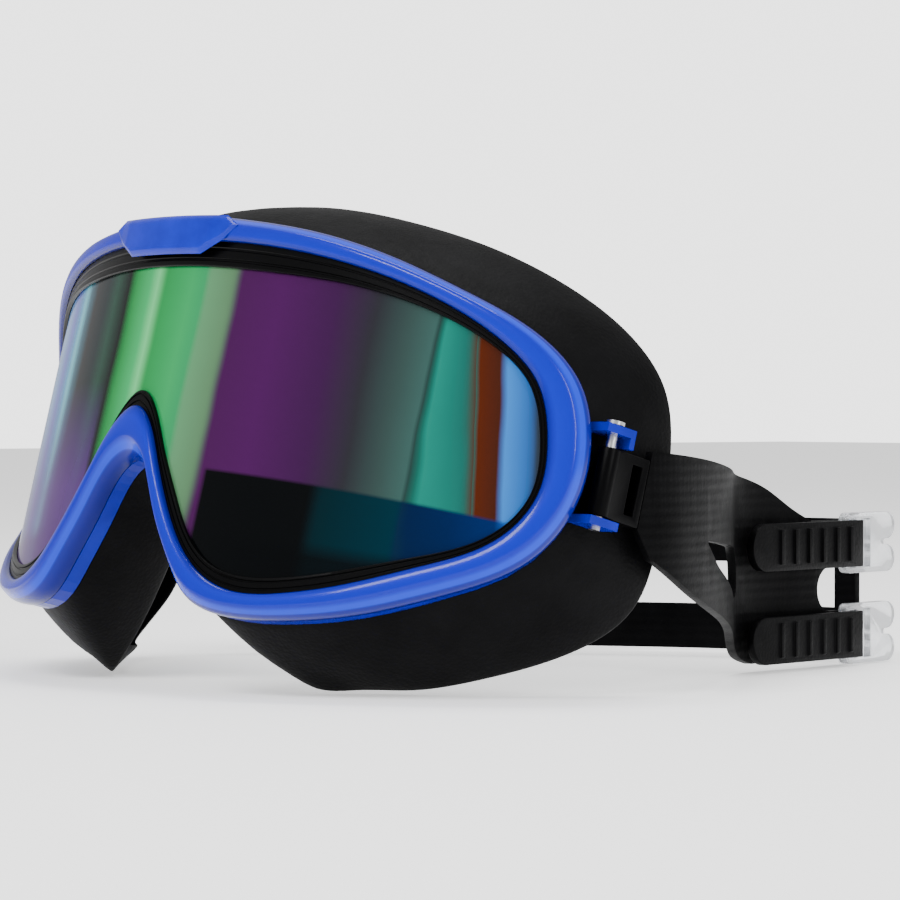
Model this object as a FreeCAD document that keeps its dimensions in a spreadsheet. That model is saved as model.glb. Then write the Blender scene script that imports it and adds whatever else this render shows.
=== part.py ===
"""Large-frame swimming goggles: one-piece lens, silicone face skirt and split silicone head strap.

Two working frames share one origin, the middle of the lens's front face:
- the lens frame: X to the wearer's left, Y back towards the face, Z along the lens's straight rulings;
- the table frame: the lens frame leaned back, with Z up, which is how the goggles rest on a table.
Every sub-part is modelled in one of them and then placed in the part's own frame.
"""
import FreeCAD, Part
import math
import os

from FreeCAD import Placement, Rotation, Vector

os.makedirs("parts", exist_ok=True)
doc = FreeCAD.newDocument("goggles")

# ---------------------------------------------------------------- driving sizes, in mm and degrees
SIZES = [
    ("lens_radius", 101.0),
    ("lean_angle", 15.0),
    ("table_drop", 50.1),
    ("mid_depth", 77.5),
    ("rim_proud", 0.6),
    ("rim_lip_depth", 0.8),
    ("rim_back_depth", 4.6),
    ("gasket_thickness", 0.7),
    ("gasket_gap", 0.1),
    ("lens_front_depth", 1.7),
    ("lens_thickness", 2.0),
    ("flange_depth", 3.8),
    ("flange_thickness", 0.8),
    ("rear_frame_depth", 4.7),
    ("rear_frame_thickness", 2.7),
    ("skirt_wall", 1.8),
    ("skirt_bulge", 1.2),
    ("skirt_lip_width", 6.5),
    ("plate_thickness", 0.9),
    ("plate_gap", 0.05),
    ("pin_x", 77.4),
    ("pin_y", 45.8),
    ("pin_radius", 1.0),
    ("pin_head_radius", 1.7),
    ("pin_head_height", 0.6),
    ("pin_bottom", -9.3),
    ("pin_length", 18.6),
    ("pin_clearance", 0.06),
    ("lug_inner_x", 74.3),
    ("lug_width", 5.5),
    ("lug_front_y", 42.35),
    ("lug_length", 6.6),
    ("lug_thickness", 1.5),
    ("lug_upper_z", 7.5),
    ("lug_lower_z", -8.8),
    ("hook_drop", 1.9),
    ("hook_length", 1.1),
    ("hook_inset", 2.2),
    ("clip_barrel_radius", 1.9),
    ("clip_bottom", -6.9),
    ("clip_height", 12.0),
    ("clip_reach", 8.4),
    ("clip_half_width", 1.5),
    ("clip_slot_front", 4.6),
    ("clip_slot_rear", 6.8),
    ("clip_slot_margin", 1.6),
    ("strap_thickness", 1.6),
    ("leg_bottom", 1.4),
    ("leg_height", 9.0),
    ("leg_pitch", 17.7),
    ("tail_heading", 12.0),
    ("adjuster_x", 32.3),
    ("adjuster_y", 150.0),
    ("adjuster_thickness", 1.8),
    ("adjuster_offset", 1.1),
    ("adjuster_height", 11.8),
    ("adjuster_front", -7.2),
    ("adjuster_rear", 10.5),
    ("adjuster_bar", 1.7),
    ("adjuster_corner", 1.6),
    ("slot_width", 2.2),
    ("slot_height", 9.6),
    ("rear_slot_front", -0.6),
    ("notch_width", 1.1),
    ("notch_depth", 4.0),
    ("tail_length", 38.0),
    ("tail_fit", 0.2),
    ("rib_height", 0.5),
    ("rib_width", 1.2),
    ("rib_pitch", 4.8),
]

sheet = doc.addObject("Spreadsheet::Sheet", "Sizes")
for row, (name, value) in enumerate(SIZES, start=1):
    sheet.set(f"A{row}", name)
    sheet.set(f"B{row}", str(value))
    sheet.setAlias(f"B{row}", name)
doc.recompute()


def size(name):
    """A driving size, read back from the sheet."""
    return float(sheet.get(name))


LENS_RADIUS = size("lens_radius")
TO_TABLE = Placement(Vector(0, 0, 0), Rotation(Vector(1, 0, 0), -size("lean_angle")))
TABLE_PLACE = Placement(Vector(0, -size("mid_depth"), size("table_drop")), Rotation())
LENS_PLACE = TABLE_PLACE.multiply(TO_TABLE)

# ---------------------------------------------------------------- outlines of the front
# Half outlines from the top middle round the wearer's left to the nose: (distance round the
# lens from its middle, height). The same row of each list is one station of the rings.
OPENING = [
    (0, 31.4), (14, 31.2), (31.5, 30.1), (47, 27.9), (62, 24), (73.5, 19), (81, 13), (84.6, 4),
    (84.9, -6), (80, -14.5), (67.4, -21.9), (55, -27), (43.5, -30.2), (33.3, -31), (25.5, -28.5),
    (19.3, -23.5), (13.8, -16.3), (9, -8.5), (5, -2.4), (0, 0.7),
]
OUTER = [
    (0, 36.8), (14.7, 36), (33, 34.4), (50, 31.3), (66, 26.7), (80, 21.4), (88.6, 14.4), (92.3, 5),
    (92.2, -5), (86.5, -16.5), (72, -25.8), (57, -31.7), (44, -34.5), (33, -35.3), (22, -32.7),
    (16.5, -26.8), (11.2, -19.3), (8.2, -14), (5, -10.4), (0, -8.6),
]
# Width of the black border that the gasket shows inside the opening, at the same stations.
BORDER = [4.6, 4.6, 4.4, 3.8, 2.8, 2.0, 1.5, 1.3, 1.3, 1.6, 2.2, 2.7, 2.9, 2.9, 2.4, 2, 2, 2.2, 2.6, 3]
# The skirt's rear edge, which meets the face: (x, y, z) in the lens frame at the same stations.
FACE_EDGE = [
    (0, 27.2, 45.6), (15, 27.9, 45), (30.9, 31.5, 42.9), (44.6, 38.4, 40), (56.8, 47.7, 35),
    (65.3, 56.6, 28.3), (69.9, 62.3, 20.6), (71.9, 65.2, 8.2), (72.4, 65.6, -6), (71.3, 64, -19.4),
    (65.4, 56.4, -29.5), (56.2, 47.2, -36.4), (46.2, 39.3, -40.9), (38, 34, -42.5), (31, 29.6, -43.4),
    (23.8, 28, -36.8), (17.2, 26.8, -26.2), (11.6, 25, -17.2), (6, 23, -11.6), (0, 22.2, -9.6),
]


def mirrored(half):
    """The full closed list of a half list that starts and ends on the middle plane."""
    return half + [(-row[0],) + tuple(row[1:]) for row in half[-2:0:-1]]


def on_front(distance, height, depth):
    """A point `depth` behind the lens's front cylinder."""
    angle = distance / LENS_RADIUS
    reach = LENS_RADIUS - depth
    return Vector(reach * math.sin(angle), LENS_RADIUS - reach * math.cos(angle), height)


def between_outlines(across):
    """(Distance, height) at each station: `across` is 0 at the opening and 1 at the outer outline."""
    pairs = zip(mirrored(OPENING), mirrored(OUTER))
    return [(s0 + (s1 - s0) * across, z0 + (z1 - z0) * across) for (s0, z0), (s1, z1) in pairs]


def inside_opening(distance_of):
    """(Distance, height) at each station, moved into the opening by a length made from its border."""
    flat = []
    widths = BORDER + BORDER[-2:0:-1]
    for (s0, z0), (s1, z1), border in zip(mirrored(OPENING), mirrored(OUTER), widths):
        inset = distance_of(border) / math.hypot(s1 - s0, z1 - z0)
        flat.append((s0 - (s1 - s0) * inset, z0 - (z1 - z0) * inset))
    return flat


STEPS_BETWEEN_STATIONS = 3


def smooth_ring(points):
    """The points of a closed ring with more points put between them on a smooth curve."""
    curve = Part.BSplineCurve()
    curve.interpolate(Points=points, PeriodicFlag=True)
    knots = [curve.getKnot(index) for index in range(1, curve.NbKnots + 1)]
    smooth = []
    for low, high in zip(knots, knots[1:]):
        for step in range(STEPS_BETWEEN_STATIONS):
            smooth.append(curve.value(low + (high - low) * step / STEPS_BETWEEN_STATIONS))
    return smooth


def lens_ring(flat, depth):
    """A smooth ring that lies `depth` behind the lens's front, through (distance, height) stations."""
    smooth = smooth_ring([Vector(distance, height, 0) for distance, height in flat])
    return [on_front(point.x, point.y, depth) for point in smooth]


def station_ring(across, depth):
    """A smooth ring between the opening and the outer outline."""
    return lens_ring(between_outlines(across), depth)


def inset_ring(distance_of, depth):
    """A smooth ring inside the opening."""
    return lens_ring(inside_opening(distance_of), depth)


def ring_solid(rings):
    """A closed tube-like solid of flat facets whose section has one corner on each smooth ring."""
    count = len(rings[0])
    faces = []
    for first, second in zip(rings, rings[1:] + rings[:1]):
        for index in range(count):
            after = (index + 1) % count
            corners = [first[index], first[after], second[after], second[index]]
            faces.append(Part.Face(Part.makePolygon([corners[0], corners[1], corners[2], corners[0]])))
            faces.append(Part.Face(Part.makePolygon([corners[0], corners[2], corners[3], corners[0]])))
    sewn = Part.makeCompound(faces)
    sewn.sewShape()
    solid = Part.makeSolid(sewn.Shells[0])
    if solid.Volume < 0:
        solid.reverse()
    return solid


# ---------------------------------------------------------------- document helpers
SUBPARTS = []


def finish(feature, label, placement):
    """Name a finished sub-part and put it in the part's own frame."""
    feature.Label = label
    feature.Placement = placement
    SUBPARTS.append(feature)


def shape_part(shape, label, placement):
    """A sub-part whose free-form shape no feature makes."""
    feature = doc.addObject("Part::Feature", label)
    feature.Shape = shape
    finish(feature, label, placement)
    return feature


FRONT_PLANE = Rotation(Vector(1, 0, 0), 90)


def free_sketch(name, rotation, geometry, base=Vector(0, 0, 0)):
    """A sketch outside any body."""
    sketch = doc.addObject("Sketcher::SketchObject", name)
    sketch.Placement = Placement(base, rotation)
    sketch.addGeometry(geometry, False)
    return sketch


def closed_lines(points):
    """Straight sketch lines round a list of (u, v) corners."""
    corners = [Vector(u, v, 0) for u, v in points]
    return [Part.LineSegment(a, b) for a, b in zip(corners, corners[1:] + corners[:1])]


def open_spline(points):
    """A smooth sketch curve through (u, v) points."""
    curve = Part.BSplineCurve()
    curve.interpolate(Points=[Vector(u, v, 0) for u, v in points])
    return curve


def extrusion(name, sketch, forward, backward):
    """A sketch extruded both ways along its normal."""
    feature = doc.addObject("Part::Extrusion", name)
    feature.Base = sketch
    feature.DirMode = "Normal"
    feature.LengthFwd = forward
    feature.LengthRev = backward
    feature.Solid = True
    return feature


def boolean(kind, name, base, tool):
    """Part::Cut, Part::Common or Part::Fuse of two objects."""
    feature = doc.addObject(kind, name)
    feature.Base = base
    feature.Tool = tool
    return feature


def upright_cylinder(name, radius_expression):
    """A cylinder on the lens's axis of curvature."""
    cylinder = doc.addObject("Part::Cylinder", name)
    cylinder.setExpression("Radius", radius_expression)
    cylinder.Height = 120
    cylinder.Placement.Base = Vector(0, LENS_RADIUS, -60)
    return cylinder


def curved_layer(name, front_expression, back_expression):
    """A layer between two depths behind the lens's front cylinder."""
    front = upright_cylinder(name + "_front", front_expression)
    back = upright_cylinder(name + "_back", back_expression)
    return boolean("Part::Cut", name, front, back)


def origin_plane(body, role):
    """One of a body's own origin planes."""
    return next(item for item in body.Origin.OriginFeatures if item.Role == role)


def body_sketch(body, name, role, offset=Vector(0, 0, 0)):
    """A sketch on one of a body's origin planes."""
    sketch = body.newObject("Sketcher::SketchObject", name)
    sketch.AttachmentSupport = [(origin_plane(body, role), "")]
    sketch.MapMode = "FlatFace"
    sketch.AttachmentOffset = Placement(offset, Rotation())
    return sketch


# ---------------------------------------------------------------- front rim and rear frame
def make_front_rim():
    """The glossy bezel: a rounded bar with a lip over the gasket and a rebate behind it."""
    proud = -size("rim_proud")
    lip = size("rim_lip_depth")
    back = size("rim_back_depth")
    rings = [
        station_ring(0.0, lip),
        station_ring(0.0, -0.4),
        station_ring(0.2, proud + 0.15),
        station_ring(0.5, proud),
        station_ring(0.8, proud + 1.2),
        station_ring(1.0, lip + 1.6),
        station_ring(1.0, back),
        station_ring(0.72, back),
        station_ring(0.62, lip),
    ]
    shape_part(ring_solid(rings), "front_rim", LENS_PLACE)


def lug_box(side, bottom, height, front, length, inner, width):
    """One block beside the lens; side is +1 for the wearer's left and -1 for the right."""
    left_edge = inner if side > 0 else -inner - width
    return Part.makeBox(width, length, height, Vector(left_edge, front, bottom))


def make_rear_frame():
    """The clamping ring behind the rim, with an upper and a lower lug for each strap pin."""
    front = size("rear_frame_depth")
    back = front + size("rear_frame_thickness")
    ring = ring_solid([
        station_ring(0.34, front),
        station_ring(0.97, front),
        station_ring(0.97, back),
        station_ring(0.34, back),
    ])
    thickness = size("lug_thickness")
    upper = size("lug_upper_z")
    lower = size("lug_lower_z")
    front_y = size("lug_front_y")
    length = size("lug_length")
    inner = size("lug_inner_x")
    width = size("lug_width")
    hook = size("hook_length")
    drop = size("hook_drop")
    inset = size("hook_inset")
    for side in (1, -1):
        blocks = [
            lug_box(side, upper, thickness, front_y, length, inner, width),
            lug_box(side, lower, thickness, front_y, length, inner, width),
            lug_box(side, upper - drop, drop, front_y + length - hook, hook, inner + inset, width - inset),
        ]
        for block in blocks:
            ring = ring.fuse(block)
        hole = Part.makeCylinder(size("pin_radius"), 40, Vector(side * size("pin_x"), size("pin_y"), -20))
        ring = ring.cut(hole)
    shape_part(ring, "rear_frame", LENS_PLACE)


# ---------------------------------------------------------------- lens, gasket and brow plate
def make_gasket():
    """The flat black border that lies on the lens's edge under the rim's lip."""
    front = size("rim_lip_depth") + size("gasket_gap")
    back = front + size("gasket_thickness")
    under_rim = 1.9
    rings = [
        inset_ring(lambda border: border, front),
        inset_ring(lambda border: -under_rim, front),
        inset_ring(lambda border: -under_rim, back),
        inset_ring(lambda border: border, back),
    ]
    shape_part(ring_solid(rings), "lens_gasket", LENS_PLACE)


def make_lens():
    """One cylindrical sheet from temple to temple with a nose cut-out."""
    edge_under_rim = 1.2
    edge = [on_front(distance, height, 2.7)
            for distance, height in inside_opening(lambda border: -edge_under_rim)]
    flat = [(point.x, point.z) for point in edge]
    geometry = [open_spline(flat[:20]), open_spline(flat[19:] + flat[:1])]
    outline = free_sketch("lens_outline", FRONT_PLANE, geometry)
    prism = extrusion("lens_prism", outline, 10, 60)
    layer = curved_layer(
        "lens_layer",
        "Sizes.lens_radius - Sizes.lens_front_depth",
        "Sizes.lens_radius - Sizes.lens_front_depth - Sizes.lens_thickness",
    )
    lens = boolean("Part::Common", "lens_sheet", layer, prism)
    finish(lens, "lens", LENS_PLACE)


def make_brow_plate():
    """The plain badge plate clipped over the top middle of the rim."""
    corners = [
        (-10.5, 28.4), (10.5, 28.4), (15.5, 31.2), (18.5, 34), (15.5, 35.8), (-15.5, 35.8),
        (-18.5, 34), (-15.5, 31.2),
    ]
    outline = free_sketch("plate_outline", FRONT_PLANE, closed_lines(corners))
    prism = extrusion("plate_prism", outline, 10, 30)
    layer = curved_layer(
        "plate_layer",
        "Sizes.lens_radius + Sizes.rim_proud + Sizes.plate_gap + Sizes.plate_thickness",
        "Sizes.lens_radius + Sizes.rim_proud + Sizes.plate_gap",
    )
    plate = boolean("Part::Common", "plate_sheet", layer, prism)
    finish(plate, "brow_plate", LENS_PLACE)


# ---------------------------------------------------------------- face skirt
def unit(vector):
    """A copy of a vector with length one."""
    return vector * (1.0 / vector.Length)


def make_skirt():
    """The silicone skirt: clamped flange, flaring wall and a soft lip round the face."""
    flange = size("flange_depth")
    flange_back = flange + size("flange_thickness")
    behind_frame = size("rear_frame_depth") + size("rear_frame_thickness") + 0.1
    wall = size("skirt_wall")
    lip_width = size("skirt_lip_width")
    start = [on_front(distance, height, behind_frame) for distance, height in between_outlines(0.97)]
    face = [Vector(*point) for point in mirrored(FACE_EDGE)]
    count = len(face)
    outer_mid = []
    inner_mid = []
    inner_rear = []
    lip_front = []
    lip_rear = []
    for index in range(count):
        along = unit(face[(index + 1) % count] - face[index - 1])
        back = unit(face[index] - start[index])
        outward = unit(along.cross(back))
        middle = (start[index] + face[index]) * 0.5 + outward * size("skirt_bulge")
        outer_mid.append(middle)
        inner_mid.append(middle - outward * wall)
        inner_rear.append(face[index] - outward * wall - back * 1.4)
        lip_front.append(face[index] - outward * lip_width - back * 1.2)
        lip_rear.append(face[index] - outward * lip_width)
    rings = [
        station_ring(0.58, flange),
        inset_ring(lambda border: 0.8, flange),
        inset_ring(lambda border: 0.8, behind_frame),
        smooth_ring(inner_mid),
        smooth_ring(inner_rear),
        smooth_ring(lip_front),
        smooth_ring(lip_rear),
        smooth_ring(face),
        smooth_ring(outer_mid),
        station_ring(0.97, behind_frame),
        station_ring(0.26, behind_frame),
        station_ring(0.26, flange_back),
        station_ring(0.58, flange_back),
    ]
    shape_part(ring_solid(rings), "face_skirt", LENS_PLACE)


# ---------------------------------------------------------------- strap pins and clips
def make_pin(label, side):
    """A headed pin through the two lugs of one side."""
    body = doc.addObject("PartDesign::Body", label)
    centre = Vector(side * size("pin_x"), size("pin_y"), 0)
    shank = body_sketch(body, label + "_shank", "XY_Plane", Vector(0, 0, size("pin_bottom")))
    shank.addGeometry(Part.Circle(centre, Vector(0, 0, 1), size("pin_radius")), False)
    pad = body.newObject("PartDesign::Pad", label + "_pad")
    pad.Profile = shank
    pad.setExpression("Length", "Sizes.pin_length")
    top = size("pin_bottom") + size("pin_length")
    head = body_sketch(body, label + "_head", "XY_Plane", Vector(0, 0, top))
    head.addGeometry(Part.Circle(centre, Vector(0, 0, 1), size("pin_head_radius")), False)
    head_pad = body.newObject("PartDesign::Pad", label + "_head_pad")
    head_pad.Profile = head
    head_pad.setExpression("Length", "Sizes.pin_head_height")
    finish(body, label, LENS_PLACE)


def make_clip(label, side):
    """The swivelling strap clip: a barrel on the pin and a slotted tongue for the strap's loop."""
    body = doc.addObject("PartDesign::Body", label)
    x = side * size("pin_x")
    y = size("pin_y")
    half = size("clip_half_width")
    reach = size("clip_reach")
    barrel = size("clip_barrel_radius")
    plan = body_sketch(body, label + "_plan", "XY_Plane", Vector(0, 0, size("clip_bottom")))
    start = math.sqrt(barrel ** 2 - half ** 2)
    end = math.sqrt(reach ** 2 - half ** 2)
    turn = math.asin(half / barrel)
    corners = [
        Vector(x - half, y + start, 0), Vector(x - half, y + end, 0),
        Vector(x + half, y + end, 0), Vector(x + half, y + start, 0),
    ]
    up = math.pi / 2
    front_arc = Part.ArcOfCircle(
        Part.Circle(Vector(x, y, 0), Vector(0, 0, 1), barrel), up + turn, up - turn + 2 * math.pi)
    rear_turn = math.asin(half / reach)
    rear_arc = Part.ArcOfCircle(
        Part.Circle(Vector(x, y, 0), Vector(0, 0, 1), reach), up - rear_turn, up + rear_turn)
    plan.addGeometry(
        [Part.LineSegment(corners[0], corners[1]), rear_arc, Part.LineSegment(corners[2], corners[3]),
         front_arc], False)
    pad = body.newObject("PartDesign::Pad", label + "_pad")
    pad.Profile = plan
    pad.setExpression("Length", "Sizes.clip_height")
    bore = body_sketch(body, label + "_bore", "XY_Plane", Vector(0, 0, size("clip_bottom")))
    bore_radius = size("pin_radius") + size("pin_clearance")
    bore.addGeometry(Part.Circle(Vector(x, y, 0), Vector(0, 0, 1), bore_radius), False)
    bore_cut = body.newObject("PartDesign::Pocket", label + "_bore_cut")
    bore_cut.Profile = bore
    bore_cut.Type = "ThroughAll"
    bore_cut.Midplane = True
    slot = body_sketch(body, label + "_slot", "YZ_Plane")
    margin = size("clip_slot_margin")
    low = size("clip_bottom") + margin
    high = size("clip_bottom") + size("clip_height") - margin
    slot.addGeometry(closed_lines([
        (y + size("clip_slot_front"), low), (y + size("clip_slot_rear"), low),
        (y + size("clip_slot_rear"), high), (y + size("clip_slot_front"), high)]), False)
    slot_cut = body.newObject("PartDesign::Pocket", label + "_slot_cut")
    slot_cut.Profile = slot
    slot_cut.Type = "ThroughAll"
    slot_cut.Midplane = True
    finish(body, label, LENS_PLACE)


# ---------------------------------------------------------------- head strap
# Plan routes of the strap's middle line in the table frame, from the clip to the rear.
LEFT_ROUTE = [(77.4, 50), (77.2, 57), (74.6, 65.5), (64, 83), (51.5, 98)]
RIGHT_ROUTE = [(-77.4, 50), (-77.2, 57), (-71, 75), (-51, 104), (-22, 131), (6, 146.5), (30.6, 152.8)]


def heading_vector():
    """The direction in which the tails and the adjusters lie, towards the rear."""
    turn = math.radians(size("tail_heading"))
    return Vector(-math.sin(turn), math.cos(turn), 0)


def adjuster_point(along, across=0.0, height=0.0):
    """A point beside the adjusters: along the tails, outwards across them, and up."""
    rear = heading_vector()
    outward = Vector(rear.y, -rear.x, 0)
    centre = Vector(size("adjuster_x"), size("adjuster_y"), height - size("table_drop"))
    return centre + rear * along + outward * across


def offset_route(points, offset):
    """The points of a route moved sideways from a smooth curve through them."""
    curve = Part.BSplineCurve()
    curve.interpolate(Points=points)
    moved = []
    for point in points:
        tangent = curve.tangent(curve.parameter(point))[0]
        moved.append((point.x - tangent.y * offset, point.y + tangent.x * offset))
    return moved


def strap_wall(name, points):
    """A tall upright wall of the strap's thickness along a route."""
    half = size("strap_thickness") / 2
    left = offset_route(points, half)
    right = offset_route(points, -half)
    ends = [
        Part.LineSegment(Vector(*left[-1], 0), Vector(*right[-1], 0)),
        Part.LineSegment(Vector(*right[0], 0), Vector(*left[0], 0)),
    ]
    plan = free_sketch(name + "_plan", Rotation(), [open_spline(left), open_spline(right)] + ends)
    return extrusion(name + "_wall", plan, 20, size("table_drop") + 10)


def leg_levels():
    """Bottom and top of the lower leg, then of the upper leg, above the table."""
    low = size("leg_bottom")
    height = size("leg_height")
    pitch = size("leg_pitch")
    return low, low + height, low + pitch, low + pitch + height


def make_strap(label, points, chord_angle, edge, window, crotch, legs_end, yoke_start):
    """One strap half: an end band, a window, a wide web and two legs."""
    wall = strap_wall(label, points)
    side = Rotation(Vector(0, 0, 1), chord_angle).multiply(Rotation(Vector(1, 0, 0), 90))
    low, low_top, high, high_top = leg_levels()
    drop = size("table_drop")
    radius = (high - low_top) / 2
    middle = (high + low_top) / 2 - drop

    def level(rows):
        return [(along, height - drop) for along, height in rows]

    top_rows, front_rows, bottom_rows = edge
    top = open_spline(level(top_rows))
    bottom = open_spline(level(bottom_rows))
    front = [Part.LineSegment(Vector(*a, 0), Vector(*b, 0)) for a, b in
             zip(level(front_rows), level(front_rows)[1:])]
    top_end = Vector(*level(top_rows)[-1], 0)
    low_end = Vector(*level(bottom_rows)[-1], 0)
    rear = [
        Part.LineSegment(top_end, Vector(legs_end, top_end.y, 0)),
        Part.LineSegment(Vector(legs_end, low_end.y, 0), low_end),
        Part.LineSegment(Vector(legs_end, top_end.y, 0), Vector(legs_end, low_end.y, 0)),
    ]
    outline = free_sketch(label + "_side", side, [top, bottom] + front + rear)
    blade = extrusion(label + "_blade", outline, 200, 200)
    strip = boolean("Part::Common", label + "_strip", wall, blade)
    hole = free_sketch(label + "_window", side, closed_lines(level(window)))
    hole_prism = extrusion(label + "_window_prism", hole, 200, 200)
    opened = boolean("Part::Cut", label + "_opened", strip, hole_prism)
    front_cap = Part.ArcOfCircle(
        Part.Circle(Vector(crotch + radius, middle, 0), Vector(0, 0, 1), radius),
        math.pi / 2, 3 * math.pi / 2)
    gap_corners = [
        Vector(crotch + radius, middle - radius, 0), Vector(yoke_start, middle - radius, 0),
        Vector(yoke_start, middle + radius, 0), Vector(crotch + radius, middle + radius, 0),
    ]
    gap = [front_cap]
    for corner, after in zip(gap_corners, gap_corners[1:]):
        gap.append(Part.LineSegment(corner, after))
    fork = free_sketch(label + "_fork", side, gap)
    fork_prism = extrusion(label + "_fork_prism", fork, 200, 200)
    split = boolean("Part::Cut", label + "_split", opened, fork_prism)
    finish(split, label, TABLE_PLACE)


def make_left_strap():
    """The half on the wearer's left, whose legs run into the adjusters."""
    straight_start = adjuster_point(-size("tail_length") - 2)
    legs_end = adjuster_point(size("adjuster_front") + size("adjuster_bar") - size("tail_fit") - 0.2)
    middle = adjuster_point(-size("tail_length") / 2)
    points = [Vector(x, y, 0) for x, y in LEFT_ROUTE]
    for point in (straight_start, middle, legs_end):
        points.append(Vector(point.x, point.y, 0))
    high_top = leg_levels()[3]
    edge = (
        [(54.7, 42.6), (65.5, 41.7), (85, 39.9), (105.8, 37.6), (120.5, 34.4), (128, 30.6), (134, high_top)],
        [(54.7, 42.6), (51.1, 29.1), (54, 24)],
        [(54, 24), (66.5, 17.8), (84, 12.6), (101.6, 6.8), (108, 3.4), (115, size("leg_bottom"))],
    )
    window = [(74, 26.6), (103, 24), (106.5, 20.5), (106, 14.6), (102, 14.6), (81.7, 21.6)]
    make_strap("left_strap", points, chord_angle=90, edge=edge, window=window, crotch=136,
               legs_end=legs_end.y + 5, yoke_start=legs_end.y + 10)


def make_right_strap():
    """The half on the wearer's right, whose legs end in a yoke behind the adjusters."""
    points = [Vector(x, y, 0) for x, y in RIGHT_ROUTE]
    high_top = leg_levels()[3]
    edge = (
        [(-16, 42.6), (2, 41.6), (20, 40.8), (37.5, 38.9), (57, 35), (66, 30.8), (74, high_top)],
        [(-16, 42.6), (-18.5, 29.1), (-15, 24)],
        [(-15, 24), (-5, 18.2), (16, 13.2), (36.5, 6.8), (43.5, 3.4), (51, size("leg_bottom"))],
    )
    window = [(4, 26.6), (39, 24), (43.5, 20.5), (43, 14.6), (38, 14.6), (12, 21.6)]
    make_strap("right_strap", points, chord_angle=45, edge=edge, window=window, crotch=74,
               legs_end=135, yoke_start=125.6)


# ---------------------------------------------------------------- tails and adjusters
def tail_shape(bottom):
    """A folded strap end: inner stub, turn through the adjuster and ribbed tail outside."""
    thickness = size("strap_thickness")
    height = size("leg_height")
    half = thickness / 2
    turn_rear = size("adjuster_front") + size("adjuster_bar") + size("tail_fit") + thickness
    turn_front = turn_rear - thickness
    outer = size("adjuster_offset") + size("adjuster_thickness") + size("tail_fit")
    tip = turn_rear - size("tail_length")
    centre = bottom + height / 2

    def block(start, end, inside, outside, low, high):
        corners = [adjuster_point(a, c, low) for a, c in
                   ((start, inside), (end, inside), (end, outside), (start, outside))]
        wire = Part.makePolygon(corners + corners[:1])
        return Part.Face(wire).extrude(Vector(0, 0, high - low))

    shape = block(turn_front, turn_rear, -half, outer + thickness, bottom, bottom + height)
    straight = block(tip + height / 2, turn_front, outer, outer + thickness, bottom, bottom + height)
    shape = shape.fuse(straight)
    axis_start = adjuster_point(tip + height / 2, outer, centre)
    outward = adjuster_point(0, 1) - adjuster_point(0, 0)
    nose = Part.makeCylinder(height / 2, thickness, axis_start, outward)
    shape = shape.fuse(nose)
    rib_count = int((size("tail_length") - height) // size("rib_pitch"))
    for index in range(rib_count):
        place = turn_front - 2.4 - index * size("rib_pitch")
        rib = block(place - size("rib_width"), place, outer + thickness - 0.2,
                    outer + thickness + size("rib_height"), bottom + 1.2, bottom + height - 1.2)
        shape = shape.fuse(rib)
    return shape.removeSplitter()


def make_adjuster(label, leg_bottom):
    """A clear two-slot buckle plate with twin rounded finger tabs."""
    body = doc.addObject("PartDesign::Body", label)
    half = size("adjuster_height") / 2
    front = size("adjuster_front")
    rear = size("adjuster_rear")
    lobe = (size("adjuster_height") - size("notch_width")) / 4
    notch = size("notch_width") / 2
    notch_start = rear - size("notch_depth")
    corner = size("adjuster_corner")
    plan = body_sketch(body, label + "_plan", "XY_Plane")
    down = -math.pi / 2

    def arc(u, v, radius, start, end):
        return Part.ArcOfCircle(Part.Circle(Vector(u, v, 0), Vector(0, 0, 1), radius), start, end)

    plan.addGeometry([
        Part.LineSegment(Vector(front + corner, -half, 0), Vector(rear - lobe, -half, 0)),
        arc(rear - lobe, -half + lobe, lobe, down, math.pi / 2),
        Part.LineSegment(Vector(rear - lobe, -notch, 0), Vector(notch_start + notch, -notch, 0)),
        arc(notch_start + notch, 0, notch, math.pi / 2, -math.pi / 2),
        Part.LineSegment(Vector(notch_start + notch, notch, 0), Vector(rear - lobe, notch, 0)),
        arc(rear - lobe, half - lobe, lobe, down, math.pi / 2),
        Part.LineSegment(Vector(rear - lobe, half, 0), Vector(front + corner, half, 0)),
        arc(front + corner, half - corner, corner, math.pi / 2, math.pi),
        Part.LineSegment(Vector(front, half - corner, 0), Vector(front, -half + corner, 0)),
        arc(front + corner, -half + corner, corner, math.pi, math.pi * 1.5),
    ], False)
    pad = body.newObject("PartDesign::Pad", label + "_pad")
    pad.Profile = plan
    pad.setExpression("Length", "Sizes.adjuster_thickness")
    slots = body_sketch(body, label + "_slots", "XY_Plane")
    reach = size("slot_height") / 2
    for slot_front in (front + size("adjuster_bar"), size("rear_slot_front")):
        slot_rear = slot_front + size("slot_width")
        slots.addGeometry(closed_lines([
            (slot_front, -reach), (slot_rear, -reach), (slot_rear, reach), (slot_front, reach)]), False)
    cut = body.newObject("PartDesign::Pocket", label + "_slot_cut")
    cut.Profile = slots
    cut.Type = "ThroughAll"
    cut.Midplane = True
    centre_height = leg_bottom + size("leg_height") / 2
    rear_direction = heading_vector()
    outward = adjuster_point(0, 1) - adjuster_point(0, 0)
    frame = FreeCAD.Matrix(
        rear_direction.x, 0, outward.x, 0,
        rear_direction.y, 0, outward.y, 0,
        0, 1, 0, 0,
        0, 0, 0, 1)
    place = Placement(frame)
    place.Base = adjuster_point(0, size("adjuster_offset"), centre_height)
    finish(body, label, TABLE_PLACE.multiply(place))


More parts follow.
